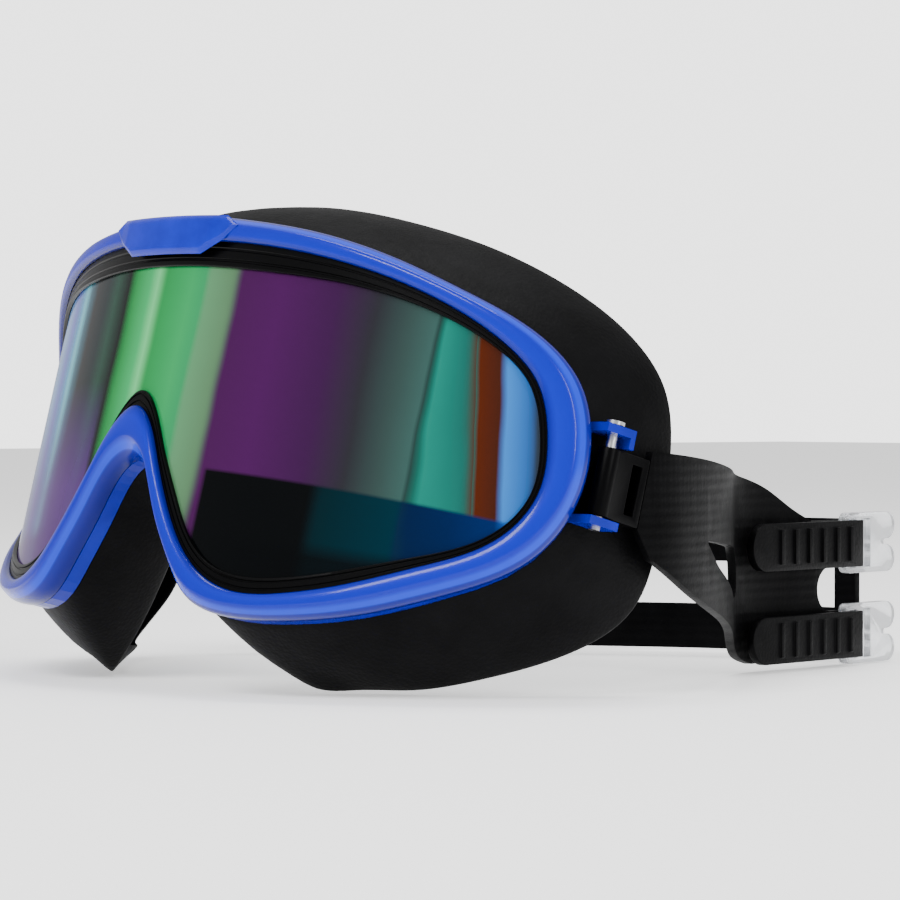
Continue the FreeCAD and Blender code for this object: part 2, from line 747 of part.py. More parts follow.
# ---------------------------------------------------------------- build, check and write
make_front_rim()
make_rear_frame()
make_gasket()
make_lens()
make_brow_plate()
make_skirt()
for side_name, side_sign in (("left", 1), ("right", -1)):
    make_pin(side_name + "_pivot_pin", side_sign)
    make_clip(side_name + "_strap_clip", side_sign)
make_left_strap()
make_right_strap()
LOWER_BOTTOM, _, UPPER_BOTTOM, _ = leg_levels()
for level_name, leg_level in (("lower", LOWER_BOTTOM), ("upper", UPPER_BOTTOM)):
    shape_part(tail_shape(leg_level), level_name + "_tail", TABLE_PLACE)
    make_adjuster(level_name + "_adjuster", leg_level)

doc.recompute()
for item in doc.Objects:
    if "Invalid" in item.State or "Error" in item.State:
        raise RuntimeError(f"{item.Name} failed: {item.State}")
for subpart in SUBPARTS:
    shape = subpart.Shape
    if shape.isNull() or not shape.isValid() or not shape.Solids:
        raise RuntimeError(f"{subpart.Label} has no valid solid")
    shape.exportStep(f"parts/{subpart.Label}.step")
    box = shape.optimalBoundingBox()
    print(f"{subpart.Label:18s} solids {len(shape.Solids)} volume {shape.Volume:9.1f} "
          f"x {box.XMin:7.2f} {box.XMax:7.2f} y {box.YMin:7.2f} {box.YMax:7.2f} "
          f"z {box.ZMin:7.2f} {box.ZMax:7.2f}")
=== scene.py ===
import math

import bmesh
import bpy
import numpy as np
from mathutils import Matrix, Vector


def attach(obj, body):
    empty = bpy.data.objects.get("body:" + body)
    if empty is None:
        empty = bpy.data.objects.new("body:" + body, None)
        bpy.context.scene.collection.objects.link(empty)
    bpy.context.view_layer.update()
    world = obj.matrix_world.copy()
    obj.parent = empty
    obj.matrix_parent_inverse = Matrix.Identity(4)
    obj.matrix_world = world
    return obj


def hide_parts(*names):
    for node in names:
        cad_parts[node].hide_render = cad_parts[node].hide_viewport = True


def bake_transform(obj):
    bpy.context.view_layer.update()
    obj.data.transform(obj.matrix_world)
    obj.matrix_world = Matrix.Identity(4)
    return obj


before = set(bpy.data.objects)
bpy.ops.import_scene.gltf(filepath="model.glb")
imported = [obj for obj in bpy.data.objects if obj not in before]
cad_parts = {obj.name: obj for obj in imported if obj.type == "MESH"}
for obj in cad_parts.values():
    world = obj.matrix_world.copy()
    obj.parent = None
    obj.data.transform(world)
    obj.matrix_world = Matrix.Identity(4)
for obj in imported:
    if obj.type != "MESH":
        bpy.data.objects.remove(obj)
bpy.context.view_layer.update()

# ------------------------------------------------------------------ the object's frame
# Lengths are in millimetres, except where metres are named.
LENS_RADIUS = 101.0
LEAN = math.radians(15.0)
MID_DEPTH = 77.5
TABLE_DROP = 50.1
MM_PER_M = 1000


def from_lens(points):
    """Points measured from the middle of the lens's front, in the object's frame, in metres."""
    p = np.asarray(points, float)
    c, s = math.cos(LEAN), math.sin(LEAN)
    y = p[..., 1] * c + p[..., 2] * s - MID_DEPTH
    z = -p[..., 1] * s + p[..., 2] * c + TABLE_DROP
    return np.stack([p[..., 0], y, z], -1) / MM_PER_M


def from_table(points):
    """Points (x, depth, height above the table) in the object's frame, in metres."""
    p = np.asarray(points, float)
    return (p - [0, MID_DEPTH, 0]) / MM_PER_M


def on_front(flat, depth):
    """(distance, height) pairs laid on the cylinder `depth` behind the lens's front."""
    flat = np.asarray(flat, float)
    angle = flat[..., 0] / LENS_RADIUS
    reach = LENS_RADIUS - depth
    return np.stack([reach * np.sin(angle), LENS_RADIUS - reach * np.cos(angle), flat[..., 1]], -1)


# ------------------------------------------------------------------ outlines, as (distance, height)
# The wearer's left half of the rim's opening and outer edge, from the top round to the nose
OPENING = [
    (0, 31.4), (14, 31.2), (31.5, 30.1), (47, 27.9), (62, 24), (73.5, 19), (81, 13), (84.6, 4),
    (84.9, -6), (80, -14.5), (67.4, -21.9), (55, -27), (43.5, -30.2), (33.3, -31), (25.5, -28.5),
    (19.3, -23.5), (13.8, -16.3), (9, -8.5), (5, -2.4), (0, 0.7),
]
OUTER = [
    (0, 36.8), (14.7, 36), (33, 34.4), (50, 31.3), (66, 26.7), (80, 21.4), (88.6, 14.4), (92.3, 5),
    (92.2, -5), (86.5, -16.5), (72, -25.8), (57, -31.7), (44, -34.5), (33, -35.3), (22, -32.7),
    (16.5, -26.8), (11.2, -19.3), (8.2, -14), (5, -10.4), (0, -8.6),
]
# Width of the black border inside the opening, at each point of OPENING
BORDER = [
    4.6, 4.6, 4.4, 3.8, 2.8, 2.0, 1.5, 1.3, 1.3, 1.6, 2.2, 2.7, 2.9, 2.9, 2.4, 2, 2, 2.2, 2.6, 3,
]
# Edge of the skirt at the face: (distance, depth, height)
FACE_EDGE = [
    (0, 27.2, 45.6), (15, 27.9, 45), (30.9, 31.5, 42.9), (44.6, 38.4, 40), (56.8, 47.7, 35),
    (65.3, 56.6, 28.3), (69.9, 62.3, 20.6), (71.9, 65.2, 8.2), (72.4, 65.6, -6), (71.3, 64, -19.4),
    (65.4, 56.4, -29.5), (56.2, 47.2, -36.4), (46.2, 39.3, -40.9), (38, 34, -42.5),
    (31, 29.6, -43.4), (23.8, 28, -36.8), (17.2, 26.8, -26.2), (11.6, 25, -17.2),
    (6, 23, -11.6), (0, 22.2, -9.6),
]


def closed_list(half):
    """A half list and its mirror image, as one closed ring of rows."""
    half = np.asarray(half, float)
    other = half[-2:0:-1].copy()
    other[:, 0] *= -1
    return np.vstack([half, other])


OPEN_RING = closed_list(OPENING)
OUTER_RING = closed_list(OUTER)
BORDER_RING = np.array(BORDER + BORDER[-2:0:-1], float)
RIM_SPAN = np.linalg.norm(OUTER_RING - OPEN_RING, axis=1)[:, None]


def closed_curve(points, steps):
    """A smooth closed curve through points, with `steps` samples from each point to the next."""
    p = np.asarray(points, float)
    n = len(p)
    h = np.linalg.norm(np.roll(p, -1, 0) - p, axis=1)
    system = np.zeros((n, n))
    slope = (np.roll(p, -1, 0) - p) / h[:, None]
    for i in range(n):
        system[i, i - 1] += h[i - 1]
        system[i, i] += 2 * (h[i - 1] + h[i])
        system[i, (i + 1) % n] += h[i]
    bend = np.linalg.solve(system, 6 * (slope - np.roll(slope, 1, 0)))
    bend_next = np.roll(bend, -1, 0)
    p_next = np.roll(p, -1, 0)
    out = []
    for i in range(n):
        for k in range(steps):
            t = k / steps
            a, b = 1 - t, t
            out.append(a * p[i] + b * p_next[i]
                       + ((a ** 3 - a) * bend[i] + (b ** 3 - b) * bend_next[i]) * h[i] ** 2 / 6)
    return np.array(out)


STEPS = 8  # samples between two stations of a ring


def between(across, depth):
    """A ring on the lens cylinder, from the opening (across 0) to the outer outline (1)."""
    return on_front(closed_curve(OPEN_RING + (OUTER_RING - OPEN_RING) * across, STEPS), depth)


def moved_in(widths):
    """The stations of the opening, moved into it by a width for all or one for each."""
    widths = np.broadcast_to(widths, len(OPEN_RING))[:, None]
    return OPEN_RING - (OUTER_RING - OPEN_RING) * (widths / RIM_SPAN)


def inset(widths, depth):
    """A ring on the lens cylinder, moved into the opening."""
    return on_front(closed_curve(moved_in(widths), STEPS), depth)


# ------------------------------------------------------------------ mesh helpers
SHARP = 40  # edges beyond this many degrees are shaded as sharp


def new_object(name, verts, faces, uv=None, sharp=SHARP):
    """A smooth-shaded mesh object; uv gives one (u, v) for each vertex."""
    mesh = bpy.data.meshes.new(name)
    mesh.from_pydata([tuple(v) for v in verts], [], [tuple(f) for f in faces])
    mesh.validate()
    obj = bpy.data.objects.new(name, mesh)
    bpy.context.scene.collection.objects.link(obj)
    if uv is not None:
        layer = mesh.uv_layers.new(name="Layout")
        for loop in mesh.loops:
            layer.data[loop.index].uv = uv[loop.vertex_index]
    smooth(obj, sharp)
    return obj


def smooth(obj, sharp):
    """Smooth shading, with edges beyond `sharp` degrees left sharp."""
    for polygon in obj.data.polygons:
        polygon.use_smooth = True
    obj.data.set_sharp_from_angle(angle=math.radians(sharp))


def fix_normals(obj):
    """Turns every face outwards."""
    work = bmesh.new()
    work.from_mesh(obj.data)
    bmesh.ops.recalc_face_normals(work, faces=work.faces)
    work.to_mesh(obj.data)
    work.free()


def ring_object(name, rings, sharp=SHARP):
    """A closed ring-shaped skin whose section has one corner on each ring of points."""
    rings = [from_lens(ring) for ring in rings]
    rows, count = len(rings), len(rings[0])
    verts = np.vstack(rings)
    uv = [(row / rows, column / count) for row in range(rows) for column in range(count)]
    faces = []
    for row in range(rows):
        below = (row + 1) % rows
        for column in range(count):
            after = (column + 1) % count
            faces.append((row * count + column, row * count + after,
                          below * count + after, below * count + column))
    obj = new_object(name, verts, faces, uv, sharp)
    fix_normals(obj)
    smooth(obj, sharp)
    return obj


def apply_modifiers(obj):
    """Replaces the mesh with what its modifiers make of it."""
    graph = bpy.context.evaluated_depsgraph_get()
    mesh = bpy.data.meshes.new_from_object(obj.evaluated_get(graph))
    obj.modifiers.clear()
    obj.data = mesh


BEVELLED_SHARP = 60


def bevelled(obj, width, angle=SHARP):
    """Rounds the edges beyond `angle` degrees by a width in metres."""
    mod = obj.modifiers.new("Rounding", "BEVEL")
    mod.width = width
    mod.segments = 3
    mod.limit_method = "ANGLE"
    mod.angle_limit = math.radians(angle)
    mod.use_clamp_overlap = True
    bpy.context.view_layer.update()
    apply_modifiers(obj)
    smooth(obj, BEVELLED_SHARP)


def refined(cad_node, name, width):
    """A copy of a CAD node's shape with its edges rounded by a width in metres."""
    obj = bpy.data.objects.new(name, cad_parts[cad_node].data.copy())
    bpy.context.scene.collection.objects.link(obj)
    obj.data.materials.clear()
    work = bmesh.new()
    work.from_mesh(obj.data)
    bmesh.ops.remove_doubles(work, verts=work.verts, dist=1e-6)
    bmesh.ops.dissolve_limit(work, angle_limit=math.radians(1.5), verts=work.verts,
                             edges=work.edges)
    work.to_mesh(obj.data)
    work.free()
    bevelled(obj, width)
    return obj


# ------------------------------------------------------------------ materials
def shader(name, color, rough, metallic=0.0, **sockets):
    """A node material; sockets are set on the shader itself."""
    mat = bpy.data.materials.new(name)
    mat.use_nodes = True
    tree = mat.node_tree
    bsdf = tree.nodes["Principled BSDF"]
    bsdf.inputs["Base Color"].default_value = (*color, 1)
    bsdf.inputs["Roughness"].default_value = rough
    bsdf.inputs["Metallic"].default_value = metallic
    for key, value in sockets.items():
        bsdf.inputs[key.replace("_", " ")].default_value = value
    return mat, tree, bsdf


def node(tree, kind, **values):
    """A new node with its settings."""
    made = tree.nodes.new(kind)
    for key, value in values.items():
        setattr(made, key, value)
    return made


def math_node(tree, operation, a, b=None, clamp=False):
    """The result of arithmetic on numbers or sockets."""
    made = node(tree, "ShaderNodeMath", operation=operation, use_clamp=clamp)
    for index, value in enumerate((a, b)):
        if value is None:
            continue
        if isinstance(value, (int, float)):
            made.inputs[index].default_value = value
        else:
            tree.links.new(value, made.inputs[index])
    return made.outputs[0]


def ramp(tree, factor, stops):
    """A colour ramp with (position, linear colour) stops."""
    made = node(tree, "ShaderNodeValToRGB")
    elements = made.color_ramp.elements
    elements[0].position, elements[0].color = stops[0][0], (*stops[0][1], 1)
    elements[1].position, elements[1].color = stops[-1][0], (*stops[-1][1], 1)
    for position, color in stops[1:-1]:
        element = elements.new(position)
        element.color = (*color, 1)
    tree.links.new(factor, made.inputs[0])
    return made.outputs[0]


def noise(tree, scale, detail=4.0):
    """Noise in the piece's own coordinates."""
    made = node(tree, "ShaderNodeTexNoise")
    made.inputs["Scale"].default_value = scale
    made.inputs["Detail"].default_value = detail
    made.inputs["Roughness"].default_value = 0.6
    place = node(tree, "ShaderNodeTexCoord")
    tree.links.new(place.outputs["Object"], made.inputs["Vector"])
    return made.outputs[0]


def bump(tree, bsdf, height, distance, strength):
    """A fine relief, with its depth in metres."""
    made = node(tree, "ShaderNodeBump")
    made.inputs["Distance"].default_value = distance
    made.inputs["Strength"].default_value = strength
    tree.links.new(height, made.inputs["Height"])
    tree.links.new(made.outputs[0], bsdf.inputs["Normal"])


def layout(tree):
    """The u and v outputs of a piece's own layout."""
    source = node(tree, "ShaderNodeUVMap", uv_map="Layout")
    split = node(tree, "ShaderNodeSeparateXYZ")
    tree.links.new(source.outputs[0], split.inputs[0])
    return split.outputs[0], split.outputs[1]


MIX_FACTOR, MIX_A, MIX_B, MIX_RESULT = 0, 6, 7, 2  # sockets of a Mix node that mixes colours


def mix_color(tree, factor, a, b):
    """Colour a turned into b by a factor from 0 to 1."""
    made = node(tree, "ShaderNodeMix", data_type="RGBA")
    for index, value in ((MIX_FACTOR, factor), (MIX_A, a), (MIX_B, b)):
        if isinstance(value, tuple):
            made.inputs[index].default_value = (*value, 1)
        else:
            tree.links.new(value, made.inputs[index])
    return made.outputs[MIX_RESULT]


GLOSS = {"Coat_Weight": 0.14, "Coat_Roughness": 0.06, "Specular_IOR_Level": 0.15}


def rim_material():
    """Gloss blue, with painted shade across the section of the rim and a painted highlight line on
    its crown.
    """
    mat, tree, bsdf = shader("rim_gloss_blue", (0.0, 0.006, 0.36), 0.22, **GLOSS)
    across = layout(tree)[0]
    # painted shade and highlight across the rim's section: darker towards both edges, lighter on
    # the crown
    painted_shade_and_highlight = ramp(tree, across, [
        (0.0, (0.0, 0.001, 0.09)), (0.08, (0.0, 0.002, 0.16)), (0.2, (0.0, 0.007, 0.42)),
        (0.36, (0.0, 0.005, 0.36)), (0.42, (0.0, 0.007, 0.4)), (0.46, (0.003, 0.035, 0.65)),
        (0.52, (0.003, 0.035, 0.65)), (0.56, (0.0, 0.003, 0.22)), (0.7, (0.0, 0.002, 0.14)),
        (1.0, (0.0, 0.001, 0.1))])
    fade = math_node(tree, "MULTIPLY", noise(tree, 60, 3), 0.3)
    color = mix_color(tree, fade, painted_shade_and_highlight, (0.0, 0.004, 0.22))
    tree.links.new(color, bsdf.inputs["Base Color"])
    bump(tree, bsdf, noise(tree, 900, 3), 0.00001, 0.5)
    return mat


def plate_material():
    """Gloss blue, slightly clouded."""
    mat, tree, bsdf = shader("plate_blue", (0.0, 0.008, 0.4), 0.24, **GLOSS)
    color = ramp(tree, noise(tree, 120, 3), [(0.3, (0.0, 0.006, 0.3)), (0.7, (0.0, 0.012, 0.45))])
    tree.links.new(color, bsdf.inputs["Base Color"])
    bump(tree, bsdf, noise(tree, 1200, 3), 0.00001, 0.6)
    return mat


RIB_PITCH = 0.018  # of the Layout's v, which is the height over 100 mm


def silicone(name, rough, grain, depth, level, ribs=False):
    """Black silicone: a fine speckle, slightly uneven gloss, and fine ribs along a strap."""
    mat, tree, bsdf = shader(name, (0.0015, 0.0015, 0.0018), rough, Specular_IOR_Level=level)
    tone = ramp(tree, noise(tree, 90, 3), [(0.3, (0.0008, 0.0008, 0.001)),
                                           (0.75, (0.003, 0.003, 0.0034))])
    tree.links.new(tone, bsdf.inputs["Base Color"])
    gloss = node(tree, "ShaderNodeMapRange")
    gloss.inputs["To Min"].default_value = rough - 0.06
    gloss.inputs["To Max"].default_value = rough + 0.1
    tree.links.new(noise(tree, 400, 4), gloss.inputs["Value"])
    tree.links.new(gloss.outputs[0], bsdf.inputs["Roughness"])
    cells = node(tree, "ShaderNodeTexVoronoi")
    cells.inputs["Scale"].default_value = grain
    place = node(tree, "ShaderNodeTexCoord")
    tree.links.new(place.outputs["Object"], cells.inputs["Vector"])
    fine = math_node(tree, "MULTIPLY", noise(tree, grain * 2), 0.6)
    height = math_node(tree, "ADD", cells.outputs[0], fine)
    if ribs:
        upwards = layout(tree)[1]
        turn = math_node(tree, "MULTIPLY", upwards, 2 * math.pi / RIB_PITCH)
        wave = math_node(tree, "SINE", turn)
        height = math_node(tree, "ADD", height, math_node(tree, "MULTIPLY", wave, 0.8))
    bump(tree, bsdf, height, depth, 0.8)
    return mat


def plain(name, color, rough, grain, depth, metallic=0.0, **sockets):
    """One colour, slightly clouded, with a fine grain."""
    mat, tree, bsdf = shader(name, color, rough, metallic, **sockets)
    dark = tuple(channel * 0.75 for channel in color)
    tone = ramp(tree, noise(tree, grain * 0.2, 3), [(0.35, dark), (0.7, color)])
    tree.links.new(tone, bsdf.inputs["Base Color"])
    bump(tree, bsdf, noise(tree, grain, 4), depth, 0.6)
    return mat


def clear_material():
    """Clear plastic with a faint haze."""
    mat, tree, bsdf = shader("adjuster_clear", (0.93, 0.95, 0.97), 0.08, Transmission_Weight=0.75,
                             IOR=1.49, Coat_Weight=0.3, Coat_Roughness=0.05)
    tone = ramp(tree, noise(tree, 250, 3), [(0.3, (0.85, 0.87, 0.9)), (0.7, (0.97, 0.98, 1.0))])
    tree.links.new(tone, bsdf.inputs["Base Color"])
    bump(tree, bsdf, noise(tree, 700, 3), 0.00003, 0.5)
    return mat


LAYOUT_SCALE = 100.0  # millimetres for one unit of the lens's, plate's and straps' Layout
LENS_REACH = 90.0  # half of the distance along the lens that the bands cover
GREEN, MINT, DARK = (0.006, 0.25, 0.05), (0.12, 0.62, 0.22), (0.001, 0.0015, 0.002)
GREY_TEAL, RUST = (0.012, 0.09, 0.075), (0.08, 0.014, 0.004)
# Bands of the mirror coating's colour and of painted reflections, for this table and the two below:
# (distance along the lens from its middle, linear colour)
UPPER_REFLECTION_BANDS = [
    (-88, (0.01, 0.03, 0.3)), (-66, (0.03, 0.12, 0.6)), (-50, (0.12, 0.35, 0.75)),
    (-42, (0.07, 0.09, 0.5)), (-38, (0.03, 0.25, 0.5)), (-35.5, (0.12, 0.5, 0.6)),
    (-32.5, (0.01, 0.08, 0.12)), (-29, DARK), (-23, (0.003, 0.01, 0.012)),
    (-19, (0.01, 0.05, 0.03)), (-14, DARK), (-11, GREEN), (-6, (0.02, 0.42, 0.12)),
    (-3.5, MINT), (-1, (0.008, 0.27, 0.06)), (7, (0.015, 0.36, 0.1)),
    (10.5, (0.02, 0.3, 0.1)), (12, (0.1, 0.28, 0.13)), (18, (0.09, 0.2, 0.1)),
    (20, (0.055, 0.007, 0.065)), (30, (0.06, 0.007, 0.075)), (42, (0.04, 0.008, 0.052)),
    (50, (0.022, 0.022, 0.028)), (57, (0.03, 0.06, 0.055)), (61.4, (0.035, 0.09, 0.08)),
    (62.2, (0.003, 0.01, 0.01)), (63, (0.012, 0.2, 0.15)), (68, (0.008, 0.11, 0.09)),
    (70, (0.07, 0.012, 0.004)),
]
END_REFLECTION_BANDS = [
    (69.5, GREY_TEAL), (70.2, RUST), (74, (0.05, 0.012, 0.006)), (75.2, (0.03, 0.2, 0.62)),
    (79, (0.02, 0.11, 0.38)), (81, (0.03, 0.04, 0.05)), (86, (0.03, 0.03, 0.035)),
]
END_REFLECTION_BANDS_FROM = 69.6
LOWER_REFLECTION_BANDS = [
    (20, DARK), (44, (0.0015, 0.002, 0.0025)), (46.5, (0.001, 0.013, 0.018)),
    (61, (0.0015, 0.022, 0.035)), (62.4, (0.0015, 0.01, 0.045)), (74, (0.001, 0.016, 0.1)),
    (76, (0.006, 0.09, 0.42)), (80.5, (0.004, 0.05, 0.25)), (83, DARK),
]


def lens_material():
    """A multicoloured mirror coating; its colours and the reflections it shows are painted in bands
    round the lens.
    """
    mat, tree, bsdf = shader("lens_mirror", (0.1, 0.15, 0.15), 0.12, metallic=0.4,
                             Coat_Weight=0.05, Coat_Roughness=0.03, Specular_IOR_Level=0.08)

    def plus(a, b):
        return math_node(tree, "ADD", a, b)

    def minus(a, b):
        return math_node(tree, "SUBTRACT", a, b)

    def times(a, b, clamp=False):
        return math_node(tree, "MULTIPLY", a, b, clamp)

    def bands(rows):
        stops = [((distance + LENS_REACH) / (2 * LENS_REACH), color) for distance, color in rows]
        return ramp(tree, factor, stops)

    u, v = layout(tree)
    s = times(u, LAYOUT_SCALE)
    z = times(v, LAYOUT_SCALE)
    waver = times(minus(noise(tree, 35, 2), 0.5), 2.4)
    near_end = math_node(tree, "DIVIDE", minus(s, 62.0), 9.0, clamp=True)
    lean = times(times(minus(z, 16.0), 0.17), near_end)
    place = plus(plus(s, lean), waver)
    factor = math_node(tree, "DIVIDE", plus(place, LENS_REACH), 2 * LENS_REACH)
    past = math_node(tree, "GREATER_THAN", place, END_REFLECTION_BANDS_FROM)
    # the coating's colour and its painted reflections, in bands along the lens
    upper = mix_color(tree, past, bands(UPPER_REFLECTION_BANDS), bands(END_REFLECTION_BANDS))

    # a painted dark reflection under a slightly sloping line, on the wearer's left
    line = plus(z, times(minus(60.0, s), -0.03))
    below = times(minus(-10.8, line), 1.5, clamp=True)
    beyond = times(minus(s, 20.5), 1.0, clamp=True)
    color = mix_color(tree, times(below, beyond), upper, bands(LOWER_REFLECTION_BANDS))

    # a dark lower edge, and a violet tint low on the wearer's right
    deep = times(times(minus(-20.5, z), 0.35, clamp=True), 0.85)
    color = mix_color(tree, deep, color, DARK)
    far = times(minus(-14.0, s), 0.6, clamp=True)
    low = times(minus(6.0, z), 0.05, clamp=True)
    color = mix_color(tree, times(times(far, low), 0.7), color, (0.1, 0.015, 0.2))
    tree.links.new(color, bsdf.inputs["Base Color"])
    return mat


MATERIALS = {
    "rim": rim_material(),
    "plate": plate_material(),
    "skirt": silicone("skirt_silicone", 0.5, 1300, 0.00006, 0.05),
    "strap": silicone("strap_silicone", 0.42, 1500, 0.00003, 0.03, ribs=True),
    "tail": silicone("tail_silicone", 0.4, 1500, 0.00004, 0.05),
    "gasket": plain("gasket_black", (0.001, 0.001, 0.0012), 0.28, 900, 0.00002,
                    Specular_IOR_Level=0.08),
    "clip": plain("clip_black", (0.001, 0.001, 0.0013), 0.35, 1200, 0.00003,
                  Specular_IOR_Level=0.04),
    "rear_frame": plain("lug_blue", (0.0, 0.007, 0.34), 0.26, 700, 0.00002,
                        Coat_Weight=0.1, Specular_IOR_Level=0.15),
    "steel": plain("pin_steel", (0.6, 0.6, 0.62), 0.28, 1600, 0.00002, metallic=1.0),
    "clear": clear_material(),
    "lens": lens_material(),
}


def dress(obj, material):
    """Gives a piece its one material."""
    obj.data.materials.clear()
    obj.data.materials.append(MATERIALS[material])


# ------------------------------------------------------------------ rim, gasket, lens and plate
# Section of the rim: (share of the way from the opening to the outer edge, depth)
RIM_SECTION = [
    (0.0, 0.8), (0.0, 0.5), (0.02, 0.15), (0.07, -0.15), (0.14, -0.36), (0.24, -0.52),
    (0.36, -0.59), (0.48, -0.6), (0.57, -0.54), (0.62, -0.42), (0.64, -0.36), (0.74, 0.2),
    (0.84, 0.85), (0.86, 1.0), (0.93, 1.55), (0.98, 2.2), (1.0, 2.9), (1.0, 4.0), (0.98, 4.5),
    (0.94, 4.6), (0.72, 4.6), (0.67, 2.7), (0.62, 0.8), (0.3, 0.8),
]
rim_rings = [between(across, depth) for across, depth in RIM_SECTION]
rim = ring_object("front_rim_shell", rim_rings, sharp=24)
dress(rim, "rim")
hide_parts("front_rim")
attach(rim, "eyepiece")

GASKET_FRONT = 0.9
GASKET_BACK = 1.58
GASKET_UNDER_RIM = 1.9
# Section of the border's two beads: (share of the border's width, depth)
GASKET_SECTION = [
    (1.0, GASKET_BACK), (1.0, 1.2), (0.97, 0.98), (0.92, GASKET_FRONT), (0.8, GASKET_FRONT),
    (0.76, 1.12), (0.7, 1.12), (0.66, GASKET_FRONT), (0.36, GASKET_FRONT), (0.32, 1.08),
    (0.26, 1.08), (0.22, GASKET_FRONT), (0.0, GASKET_FRONT),
]
gasket_rings = [inset(BORDER_RING * share, depth) for share, depth in GASKET_SECTION]
gasket_rings += [inset(-GASKET_UNDER_RIM, depth) for depth in (GASKET_FRONT, GASKET_BACK)]
gasket = ring_object("lens_gasket_border", gasket_rings, sharp=30)
dress(gasket, "gasket")
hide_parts("lens_gasket")
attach(gasket, "eyepiece")


LENS_UNDER_RIM = 1.2
LENS_FRONT, LENS_BACK = 1.7, 3.7
LENS_EDGE_STEPS = 24


def lens_grid(columns, rows):
    """(distance, height) grid over the lens, to a little beyond the opening.

    The columns are closer together near the lens's two ends.
    """
    edge = closed_curve(moved_in(-LENS_UNDER_RIM), LENS_EDGE_STEPS)
    half = edge[:(len(OPENING) - 1) * LENS_EDGE_STEPS + 1]
    turn = int(np.argmax(half[:, 0]))
    top, low = half[:turn + 1], half[turn:][::-1]
    reach = half[turn, 0]
    place = reach * np.sin(np.linspace(-math.pi / 2, math.pi / 2, columns))
    away = np.abs(place)
    high = np.interp(away, np.maximum.accumulate(top[:, 0]), top[:, 1])
    deep = np.interp(away, np.maximum.accumulate(low[:, 0]), low[:, 1])
    share = np.linspace(0, 1, rows)[:, None]
    return np.stack([np.broadcast_to(place, (rows, columns)), deep + (high - deep) * share], -1)


def sheet_object(name, grid, front, back, sharp=SHARP):
    """A closed sheet between two depths behind the lens's front; depths are numbers or grids."""
    rows, columns = grid.shape[:2]
    near = from_lens(on_front(grid, np.broadcast_to(front, (rows, columns)))).reshape(-1, 3)
    far = from_lens(on_front(grid, np.broadcast_to(back, (rows, columns)))).reshape(-1, 3)
    count = rows * columns
    uv = [tuple(pair / LAYOUT_SCALE) for pair in grid.reshape(-1, 2)] * 2
    faces = []
    for row in range(rows - 1):
        for column in range(columns - 1):
            a = row * columns + column
            quad = (a, a + 1, a + columns + 1, a + columns)
            faces.append(quad)
            faces.append(tuple(index + count for index in reversed(quad)))
    border = list(range(columns))
    border += [row * columns + columns - 1 for row in range(1, rows)]
    border += [(rows - 1) * columns + column for column in range(columns - 2, -1, -1)]
    border += [row * columns for row in range(rows - 2, 0, -1)]
    for a, b in zip(border, border[1:] + border[:1]):
        faces.append((b, a, a + count, b + count))
    obj = new_object(name, np.vstack([near, far]), faces, uv, sharp)
    fix_normals(obj)
    smooth(obj, sharp)
    return obj


lens = sheet_object("mirror_lens", lens_grid(180, 30), LENS_FRONT, LENS_BACK)
dress(lens, "lens")
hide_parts("lens")
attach(lens, "eyepiece")

# The wearer's left half of the plate's upper and lower edges, as (distance, height)
PLATE_END = 18.4
PLATE_TOP = [(0, 35.7), (15.5, 35.7), (PLATE_END, 34.0)]
PLATE_LOW = [(0, 28.5), (10.5, 28.5), (15.5, 31.2), (PLATE_END, 34.0)]
PLATE_BACK = -0.6
PLATE_RISE = 0.9
PLATE_SLOPE = 1.0  # width of its rounded edge
PLATE_ROWS = [0, 0.04, 0.1, 0.16, 0.22, 0.3, 0.4, 0.5, 0.6, 0.7, 0.78, 0.84, 0.9, 0.96, 1]


def plate_grid():
    """(distance, height) grid of the plate, and the depth of its face at each point."""
    left_end = np.linspace(-18.3, -16.5, 7)
    place = np.concatenate([left_end, np.linspace(-16, 16, 65), -left_end[::-1]])
    away = np.abs(place)
    high = np.interp(away, *np.array(PLATE_TOP).T)
    deep = np.interp(away, *np.array(PLATE_LOW).T)
    share = np.array(PLATE_ROWS)[:, None]
    tall = high - deep
    to_edge = np.minimum(np.minimum(share, 1 - share) * tall, (PLATE_END - away) * 0.9)
    rise = PLATE_RISE * np.clip(to_edge / PLATE_SLOPE, 0, 1) ** 0.6
    crease = np.clip((away - 12.5) / 2.5, 0, 1) * 0.25
    grid = np.stack([np.broadcast_to(place, (len(share), len(place))), deep + tall * share], -1)
    return grid, PLATE_BACK - 0.05 - np.maximum(rise - crease, 0.02)


plate_points, plate_front = plate_grid()
plate = sheet_object("brow_plate_cap", plate_points, plate_front, PLATE_BACK, sharp=28)
dress(plate, "plate")
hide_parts("brow_plate")
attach(plate, "eyepiece")


# ------------------------------------------------------------------ face skirt
FLANGE_BACK = 7.5
FLANGE_FRONT = 3.8
FRAME_FRONT = 4.6
SKIRT_WALL = 1.8
LIP_WIDTH = 6.5
SKIRT_BULGE = 1.2
INNER_BULGE = 0.5
# The lip's section at the face: (distance inwards from the outer edge, distance towards the lens)
LIP_SECTION = [
    (-0.12, 1.3), (0.02, 0.7), (0.25, 0.25), (0.8, 0.0), (2.0, -0.05), (LIP_WIDTH - 1.2, 0.0),
    (LIP_WIDTH - 0.3, 0.25), (LIP_WIDTH, 0.6), (LIP_WIDTH - 0.3, 0.95), (LIP_WIDTH - 1.4, 1.2),
    (SKIRT_WALL + 1.4, 1.4), (SKIRT_WALL + 0.4, 1.9), (SKIRT_WALL, 3.2),
]
# The flange's section, clamped behind the lens: (share of the way to the outer edge, depth)
FLANGE_SECTION = [
    (0.58, FLANGE_FRONT), (0.58, FRAME_FRONT), (0.26, FRAME_FRONT), (0.26, FLANGE_BACK),
    (0.93, FLANGE_BACK), (0.97, FLANGE_BACK + 0.12),
]


